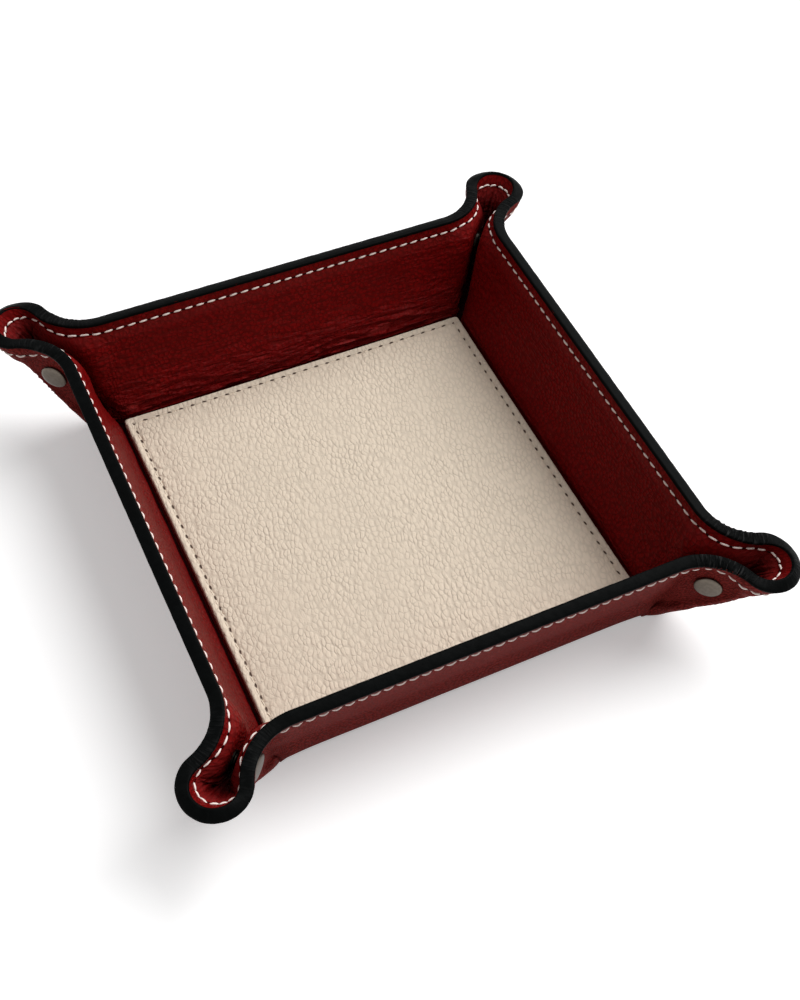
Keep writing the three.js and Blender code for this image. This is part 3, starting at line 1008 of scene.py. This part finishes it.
def stitchTree():
    tree = bpy.data.node_groups.new("stitch row", "GeometryNodeTree")
    tree.interface.new_socket(name="Geometry", in_out="INPUT", socket_type="NodeSocketGeometry")
    sockets = {}
    for name, kind, value in (
        ("Count", "NodeSocketInt", 40),
        ("Length", "NodeSocketFloat", 0.0037),
        ("Radius", "NodeSocketFloat", 0.0003),
        ("Arch", "NodeSocketFloat", 0.0005),
        ("Bow", "NodeSocketFloat", 0.0),
        ("Sink", "NodeSocketFloat", 0.00035),
        ("Slant", "NodeSocketFloat", 0.0),
        ("Thread", "NodeSocketMaterial", None),
    ):
        socket = tree.interface.new_socket(name=name, in_out="INPUT", socket_type=kind)
        if value is not None:
            socket.default_value = value
        sockets[name] = socket.identifier
    tree.interface.new_socket(name="Geometry", in_out="OUTPUT", socket_type="NodeSocketGeometry")
    given = tree.nodes.new("NodeGroupInput").outputs

    def made(kind, links=None, **settings):
        item = addNode(tree, kind, links, **settings)
        return [socket for socket in item.outputs if socket.enabled][0]

    def vector(**parts):
        return made("ShaderNodeCombineXYZ", parts)

    path = made("GeometryNodeMeshToCurve", {"Mesh": given["Geometry"]})
    spaced = made("GeometryNodeResampleCurve", {"Curve": path, "Count": given["Count"]})
    reach = addMath(tree, "MULTIPLY", given["Length"], 0.5)
    back = addMath(tree, "MULTIPLY", reach, -1.0)
    low = addMath(tree, "MULTIPLY", given["Sink"], -1.0)
    top = vector(Y=given["Bow"], Z=given["Arch"])
    ends = {"Start": vector(X=back, Z=low), "Middle": top, "End": vector(X=reach, Z=low)}
    arc = made("GeometryNodeCurveQuadraticBezier", {"Resolution": threadMesh["arcSteps"], **ends})
    links = {"Resolution": threadMesh["sides"], "Radius": given["Radius"]}
    ring = made("GeometryNodeCurvePrimitiveCircle", links)
    thread = made("GeometryNodeCurveToMesh", {"Curve": arc, "Profile Curve": ring, "Fill Caps": True})
    tangent = made("GeometryNodeInputTangent")
    face = made("GeometryNodeInputNamedAttribute", {"Name": "faceOut"}, data_type="FLOAT_VECTOR")
    along = made("FunctionNodeAlignRotationToVector", {"Vector": tangent}, axis="X")
    links = {"Rotation": along, "Vector": face}
    upright = made("FunctionNodeAlignRotationToVector", links, axis="Z", pivot_axis="X")
    lean = made("FunctionNodeRandomValue", {"Seed": threadMesh["seed"]}, data_type="FLOAT")
    leanRange = {"Min": -threadMesh["lean"], "Max": threadMesh["lean"]}
    for socket in lean.node.inputs:
        if socket.enabled and socket.name in leanRange:
            socket.default_value = leanRange[socket.name]
    tilt = vector(Z=addMath(tree, "ADD", given["Slant"], lean))
    tiltTurn = made("FunctionNodeEulerToRotation", {"Euler": tilt})
    links = {"Rotation": upright, "Rotate By": tiltTurn}
    final = made("FunctionNodeRotateRotation", links, rotation_space="LOCAL")
    row = made("GeometryNodeInstanceOnPoints", {"Points": spaced, "Instance": thread, "Rotation": final})
    solid = made("GeometryNodeRealizeInstances", {"Geometry": row})
    soft = made("GeometryNodeSetShadeSmooth", {"Geometry": solid})
    painted = made("GeometryNodeSetMaterial", {"Geometry": soft, "Material": given["Thread"]})
    addNode(tree, "NodeGroupOutput", {"Geometry": painted})
    return tree, sockets


rowTree, rowSockets = stitchTree()


def stitchRow(name, points, outward, look, thread, count, length, bow=0.0, closed=False):
    mesh = bpy.data.meshes.new(name + "_path")
    edges = [(i, i + 1) for i in range(len(points) - 1)]
    if closed:
        edges.append((len(points) - 1, 0))
    mesh.from_pydata((points * mm).tolist(), edges, [])
    attribute = mesh.attributes.new("faceOut", "FLOAT_VECTOR", "POINT")
    attribute.data.foreach_set("vector", np.asarray(outward, dtype=np.float32).reshape(-1))
    holder = linked(name + "_path", mesh)
    modifier = holder.modifiers.new("stitches", "NODES")
    modifier.node_group = rowTree
    sizes = {"Length": length, "Bow": bow}
    sizes.update({key: look[key.lower()] for key in ("Radius", "Arch", "Sink")})
    values = {key: size * mm for key, size in sizes.items()}
    values.update({"Count": count, "Slant": math.radians(look["slant"]), "Thread": thread})
    for key, value in values.items():
        modifier[rowSockets[key]] = value
    bpy.context.view_layer.update()
    evaluated = holder.evaluated_get(bpy.context.evaluated_depsgraph_get())
    made = bpy.data.meshes.new_from_object(evaluated)
    made.name = name
    bpy.data.objects.remove(holder)
    markRest(made)
    return linked(name, made)


# Path of the stitches on one face: points in the groove and the direction of the face
def rimPath(wall, stations, count, side, lift):
    dense = np.linspace(stations[0], stations[-1], rimStitch["lineSteps"])
    run = runAlong(stitchPlaces(dense, side * half))
    shares = np.linspace(0.5 / count, 1 - 0.5 / count, rimStitch["pathSteps"] * count)
    picks = np.interp(shares, run / run[-1], dense)
    _, normal, _ = sheetFrame(picks, np.full_like(picks, stitchLength))
    depth = half - reliefLook["groove"] + lift
    return turned(stitchPlaces(picks, side * depth), wall), turned(normal * side, wall)


def rimStitches(name, wall, stations, count):
    rows = []
    onLoop = count == rimStitch["loopCount"]
    for face, side in (("Outer", 1), ("Inner", -1)):
        points, outward = rimPath(wall, stations, count, side, rimStitch["lift" + face])
        length = rimStitch["length" + face] * (rimStitch["loopShare"] if onLoop else 1.0)
        bow = rimStitch["bowLoop" if onLoop else "bow" + face]
        rowName = f"{name}_{face.lower()}"
        rows.append(stitchRow(rowName, points, outward, rimStitch, rimThread, count, length, bow))
    return rows


def sheetPieces(node, names, wall, stations, count):
    outerName, liningName, beadName = names
    outer = leatherSkin(outerName, wall, stations, count, 1, redOuter)
    lining = leatherSkin(liningName, wall, stations, count, -1, redLining)
    bead = edgeBead(beadName, wall, stations)
    for piece, layer, slot in (
        (outer, "outer", "red_leather"),
        (lining, "lining", "red_lining"),
        (bead, "edge_coat", "black_edge_paint"),
    ):
        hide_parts(f"{node}_{layer}")
    return outer, lining, bead


def makeWall(wall):
    body = f"{wall}_wall"
    count = rimStitch["wallCount"]
    stations = wallSpan()
    names = [f"{body}_{part}" for part in ("outer_skin", "lining_skin", "edge_bead")]
    *skins, bead = sheetPieces(body, names, wall, stations, count)
    for skin in skins:
        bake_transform(skin)
    for piece in (bead, *rimStitches(f"{body}_stitches", wall, stations, count)):
        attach(piece, body)


def makeHalfLoop(wall, corner, sign):
    node = f"{corner}_loop"
    count = rimStitch["loopCount"]
    stations = loopSpan(sign)
    names = [f"{node}_{part}_{wall}_half" for part in ("outer", "lining", "edge")]
    pieces = sheetPieces(node, names, wall, stations, count)
    rows = rimStitches(f"{node}_stitches_{wall}_half", wall, stations, count)
    for piece in (*pieces, *rows):
        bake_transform(piece)


for wallIndex, wall in enumerate(wallNames):
    makeWall(wall)
    makeHalfLoop(wall, cornerNames[wallIndex], 1)
    makeHalfLoop(wall, cornerNames[wallIndex - 1], -1)
    print("wall made:", wall)


# Base panel under the pad
baseLook = {"insets": [0.0, 1.0, 3.0, 8.0, 20.0, 45.0], "perSide": 60, "cornerLeast": 1.0}


def squareRing(size, corner, perSide):
    share = np.arange(perSide) / perSide * 2 - 1
    edge = np.stack([share * size, np.full(perSide, -size)], -1)
    sides = []
    for cosine, sine in ((1, 0), (0, 1), (-1, 0), (0, -1)):
        x = edge[:, 0] * cosine - edge[:, 1] * sine
        y = edge[:, 0] * sine + edge[:, 1] * cosine
        sides.append(np.stack([x, y], -1))
    raw = np.concatenate(sides)
    core = np.clip(raw, -(size - corner), size - corner)
    rest = raw - core
    length = np.maximum(np.linalg.norm(rest, axis=1, keepdims=True), 1e-9)
    inCorner = (np.abs(rest) > 1e-9).all(axis=1, keepdims=True)
    return np.where(inCorner, core + rest / length * corner, raw)


def basePlate(name, layer, low, high, material):
    insets, perSide = baseLook["insets"], baseLook["perSide"]
    rings = [(inset, low) for inset in reversed(insets)] + [(inset, high) for inset in insets]
    points = []
    for inset, height in rings:
        corner = max(sheetLook["baseCorner"] - inset, baseLook["cornerLeast"])
        ring = squareRing(baseHalf - inset, corner, perSide)
        points.append(np.column_stack([ring, np.full(len(ring), height)]))
    piece = makePiece(name, np.concatenate(points), ringFaces(len(rings), 4 * perSide), material)
    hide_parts(layer)
    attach(piece, "base")


basePlate("base_outer_panel", "base_outer", 0.0, half, redOuter)
basePlate("base_lining_panel", "base_lining", half, 2 * half, redLining)
print("base made")


# Pad: crowned leather over thin padding, sewn flat along its margin.
# The edge is inset and height up the side; insets are the rings across the top.
padSizes = {
    "half": 75.0,
    "corner": 1.5,
    "cornerTaper": 0.3,
    "cornerLeast": 0.6,
    "floor": 4.8,
    "rise": 3.8,
    "crown": 0.9,
    "seamInset": 3.0,
    "seamDip": 0.35,
    "shoulder": 14.0,
    "pullIn": 0.35,
    "pullBand": (2, 12),
    "stitchesPerSide": 29,
    "stepsPerStitch": 6,
    "groove": 0.4,
    "grooveWidth": 0.75,
    "pucker": 0.12,
    "puckerOff": 2.2,
    "puckerWidth": 1.6,
    "wave": 0.16,
    "waveSize": 21.0,
    "waveBand": (6, 20),
    "edge": [(1.2, 0.0), (0.15, 0.25), (0.0, 1.0), (0.0, 2.4), (0.08, 3.0), (0.35, 3.45), (0.8, 3.7)],
    "seamInsets": [1.3, 1.7, 2.1, 2.45, 2.7, 2.9, 3.1, 3.3, 3.55, 3.9, 4.4, 5.1, 6.0, 7.2, 8.6, 10.2],
    "topInsets": [12, 14, 17, 20, 24, 28, 33, 38, 44, 50, 56, 62, 68, 72, 74],
}
padStitch = {
    "length": 3.7,
    "radius": 0.27,
    "arch": 0.42,
    "sink": 0.45,
    "slant": 3.0,
    "corner": 1.6,
    "lift": 0.12,
}


def padHeight(inset):
    seam = smooth(inset, padSizes["seamInset"], padSizes["shoulder"])
    margin = padSizes["seamDip"] * smooth(inset, 0, padSizes["seamInset"])
    dome = padSizes["crown"] * np.sin(math.pi / 2 * np.clip(inset / padSizes["half"], 0, 1))
    return padSizes["rise"] - margin + seam * (padSizes["seamDip"] + dome)


# Height of one ring of the pad's top, with the seam's groove, its puckers and soft waves
def padTop(inset, ring, run):
    off = inset - padSizes["seamInset"]
    top = np.full(len(ring), float(padHeight(np.array(inset))))
    top -= padSizes["groove"] * math.exp(-(off / padSizes["grooveWidth"]) ** 2)
    pucker = padSizes["pucker"] * math.exp(-((off - padSizes["puckerOff"]) / padSizes["puckerWidth"]) ** 2)
    top += pucker * np.cos(2 * math.pi * (run - 0.5))
    places = np.column_stack([ring, np.zeros(len(ring))])
    wave = padSizes["wave"] * noiseField(places, padSizes["waveSize"])
    return top + wave * float(smooth(np.array(inset), *padSizes["waveBand"]))


def padPiece():
    perStitch = padSizes["stepsPerStitch"]
    perSide = padSizes["stitchesPerSide"] * perStitch
    rings = padSizes["edge"] + [(inset, None) for inset in padSizes["seamInsets"] + padSizes["topInsets"]]
    run = np.tile(np.arange(perSide) / perStitch, 4)
    share = np.tile(np.arange(perSide) / perSide * 2 - 1, 4)
    points, offs = [], []
    for inset, height in rings:
        pull = padSizes["pullIn"] * faded(np.array(inset), *padSizes["pullBand"]) * (1 - share ** 4)
        corner = max(padSizes["corner"] - padSizes["cornerTaper"] * inset, padSizes["cornerLeast"])
        ring = squareRing(padSizes["half"] - inset, corner, perSide)
        ring = ring * (1 - pull / padSizes["half"])[:, None]
        top = padTop(inset, ring, run) if height is None else np.full(len(ring), height)
        points.append(np.column_stack([ring, padSizes["floor"] + top]))
        offs.append(np.full(len(ring), inset - padSizes["seamInset"]))
    fields = {"stitchRun": np.tile(run, len(rings)), "stitchOff": np.concatenate(offs)}
    faces = ringFaces(len(rings), 4 * perSide)
    return makePiece("pad_cushion", np.concatenate(points), faces, padLeather, fields)


# Stitches start half a stitch from the corner
def padRow():
    perStitch, perSide = padSizes["stepsPerStitch"], padSizes["stitchesPerSide"]
    ring = squareRing(padSizes["half"] - padSizes["seamInset"], padStitch["corner"], perSide * perStitch)
    ring = np.roll(ring, -perStitch // 2, axis=0)
    seam = float(padHeight(np.array(padSizes["seamInset"])))
    level = padSizes["floor"] + seam - padSizes["groove"] + padStitch["lift"]
    path = np.column_stack([ring, np.full(len(ring), level)])
    outward = np.tile([0.0, 0.0, 1.0], (len(path), 1))
    count, length = perSide * 4, padStitch["length"]
    return stitchRow("pad_stitches", path, outward, padStitch, padThread, count, length, closed=True)


pad = padPiece()
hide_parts("pad_cover", "pad_foam", "pad_board")
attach(pad, "base")
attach(padRow(), "base")
print("pad made")


# Press snaps, turned about the axis that crosses each ear; profiles are radius and place on the axis
snapLook = {
    "sides": 56,
    "capRadius": 5.2,
    "capRise": 1.3,
    "postRadius": 1.1,
    "ringRadius": 3.6,
    "headRadius": 2.3,
    "headClearance": 0.4,
    "postClearance": 0.05,
    "seat": 0.3,
    "tip": 0.01,
}
innerFace = sheetLook["snapHalfGap"] - snapLook["seat"]
outerFace = pinchHalf + half + snapLook["seat"]


def placed(level, points):
    return [(radius, level + rise) for radius, rise in points]


def capProfile():
    radius, post, tip = snapLook["capRadius"], snapLook["postRadius"], snapLook["tip"]
    foot = [(tip, -0.6), (post, -0.6)]
    side = [(post, -0.5), (radius - 0.5, -0.5), (radius - 0.12, -0.15), (radius, 0.1), (radius, 0.4)]
    side += [(radius - 0.08, 0.62), (radius - 0.3, 0.85), (radius - 0.75, 1.02)]
    crown = [(radius * 0.72, -0.16), (radius * 0.5, -0.08), (radius * 0.25, -0.02), (tip, 0.0)]
    top = outerFace + snapLook["capRise"]
    return placed(innerFace, foot) + placed(outerFace, side) + placed(top, crown)


def socketProfile():
    ring, head = snapLook["ringRadius"], snapLook["headRadius"] + snapLook["headClearance"]
    post = snapLook["postRadius"] + snapLook["postClearance"]
    inside = [(post, 0.25), (post, -0.5), (head, -0.5), (head - 0.12, -0.9), (head, -1.5)]
    end = [(head + 0.25, -1.7), (ring - 0.6, -1.7), (ring - 0.3, -1.45)]
    outside = [(ring - 0.15, -0.7), (ring, -0.4), (ring, 0.1), (ring - 0.2, 0.25)]
    return placed(innerFace, inside + end + outside)


def studProfile():
    ring, head = snapLook["ringRadius"], snapLook["headRadius"]
    post = snapLook["postRadius"] + snapLook["postClearance"]
    top = [(post, 0.25), (post, -1.6), (post + 0.3, -1.8), (head - 0.35, -1.8), (head - 0.08, -1.65)]
    side = [(head, -1.4), (head - 0.1, -1.1), (head - 0.22, -0.8), (head - 0.1, -0.5)]
    flange = [(ring - 0.3, -0.5), (ring, -0.3), (ring, 0.1), (ring - 0.2, 0.25)]
    return placed(innerFace, top + side + flange)


def turnedPiece(name, profile, sign, wall, hollow):
    axis = np.array([-1.0, 1.0, 0.0]) / root2
    flat = np.array([1.0, 1.0, 0.0]) / root2
    tall = np.array([0.0, 0.0, 1.0])
    centre = np.array([snapDiagonal / root2, snapDiagonal / root2, snapHeight])
    angles = np.linspace(0, 2 * math.pi, snapLook["sides"], endpoint=False)
    turn = np.outer(np.cos(angles), flat) + np.outer(np.sin(angles), tall)
    rings = [centre + radius * turn + sign * apart * axis for radius, apart in profile]
    points = turned(np.concatenate(rings), wall)
    faces = ringFaces(len(profile), len(angles), loop=hollow)
    if sign > 0:
        faces = [tuple(reversed(face)) for face in faces]
    return makePiece(name, points, faces, paintedShadeNickel if hollow else nickel)


for cornerIndex, corner in enumerate(cornerNames):
    wall = wallNames[cornerIndex]
    follow = wallNames[(cornerIndex + 1) % 4]
    for part, profile, sign, body in (
        ("socket_cap", capProfile(), 1, wall),
        ("socket", socketProfile(), 1, wall),
        ("stud", studProfile(), -1, follow),
        ("stud_cap", capProfile(), -1, follow),
    ):
        piece = turnedPiece(f"{corner}_{part}_metal", profile, sign, wall, part in ("socket", "stud"))
        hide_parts(f"{corner}_{part}")
        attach(piece, f"{body}_wall")
print("snaps made")


# Floor, light and camera; the floor's sizes are in metres
stageLook = {
    "floor": 0.94,
    "floorHalf": 4.0,
    "floorDrop": 0.0002,
    "floorRoughness": 0.9,
    "lift": 0.33,
    "sky": 0.28,
    "key": 3.02,
    "keyAngle": 49.0,
    "keyFrom": (0.9, 0.25, 1.15),
}
white = (1.0, 1.0, 1.0, 1.0)


def makeFloor():
    mesh = bpy.data.meshes.new("floor")
    size = stageLook["floorHalf"]
    corners = [(-size, -size, 0), (size, -size, 0), (size, size, 0), (-size, size, 0)]
    mesh.from_pydata(corners, [], [(0, 1, 2, 3)])
    floor = linked("floor", mesh)
    floor.location.z = -stageLook["floorDrop"]
    material = bpy.data.materials.new("pale floor")
    material.use_nodes = True
    tree = material.node_tree
    shader = tree.nodes["Principled BSDF"]
    shader.inputs["Base Color"].default_value = (stageLook["floor"],) * 3 + (1.0,)
    shader.inputs["Roughness"].default_value = stageLook["floorRoughness"]
    shader.inputs["Specular IOR Level"].default_value = 0.0
    shader.inputs["Emission Color"].default_value = white
    glow = addMath(tree, "MULTIPLY", seenRay(tree), stageLook["lift"])
    tree.links.new(glow, shader.inputs["Emission Strength"])
    mesh.materials.append(material)


# Rays from the camera, and those that reach it by a mirror or through glass
def seenRay(tree):
    path = addNode(tree, "ShaderNodeLightPath").outputs
    mirrored = addMath(tree, "MAXIMUM", path["Is Glossy Ray"], path["Is Transmission Ray"])
    return addMath(tree, "MAXIMUM", path["Is Camera Ray"], mirrored)


def makeSky():
    world = bpy.data.worlds.new("studio")
    scene.world = world
    world.use_nodes = True
    tree = world.node_tree
    plain = tree.nodes["Background"]
    plain.inputs["Color"].default_value = white
    plain.inputs["Strength"].default_value = stageLook["sky"]
    seen = addNode(tree, "ShaderNodeBackground", {"Color": white, "Strength": 1.0})
    links = {0: seenRay(tree), 1: plain.outputs["Background"], 2: seen.outputs["Background"]}
    mixed = addNode(tree, "ShaderNodeMixShader", links)
    tree.links.new(mixed.outputs["Shader"], tree.nodes["World Output"].inputs["Surface"])


def makeLight():
    data = bpy.data.lights.new("key", "SUN")
    data.energy = stageLook["key"]
    data.angle = math.radians(stageLook["keyAngle"])
    lamp = linked("key", data)
    lamp.rotation_euler = (-Vector(stageLook["keyFrom"])).to_track_quat("-Z", "Y").to_euler()


viewLook = {
    "turn": -30.39,
    "lift": 53.96,
    "roll": 5.98,
    "distance": 546.49,
    "target": (10.04, -3.89, 8.0),
    "lens": 50.57,
    "sensor": 36.0,
    "near": 0.01,
}


def makeCamera():
    turn, lift, roll = (math.radians(viewLook[key]) for key in ("turn", "lift", "roll"))
    back = Vector((math.sin(turn) * math.cos(lift), -math.cos(turn) * math.cos(lift), math.sin(lift)))
    level = Vector((math.cos(turn), math.sin(turn), 0))
    right = level * math.cos(roll) + back.cross(level) * math.sin(roll)
    up = back.cross(right)
    place = (Vector(viewLook["target"]) + back * viewLook["distance"]) * mm
    data = bpy.data.cameras.new("view")
    data.sensor_fit = "VERTICAL"
    data.sensor_height = viewLook["sensor"]
    data.lens = viewLook["lens"]
    data.clip_start = viewLook["near"]
    camera = linked("view", data)
    camera.matrix_world = Matrix((
        (right.x, up.x, back.x, place.x),
        (right.y, up.y, back.y, place.y),
        (right.z, up.z, back.z, place.z),
        (0, 0, 0, 1),
    ))
    scene.camera = camera


makeFloor()
makeSky()
makeLight()
makeCamera()
scene.view_settings.view_transform = "Standard"
print("stage made")
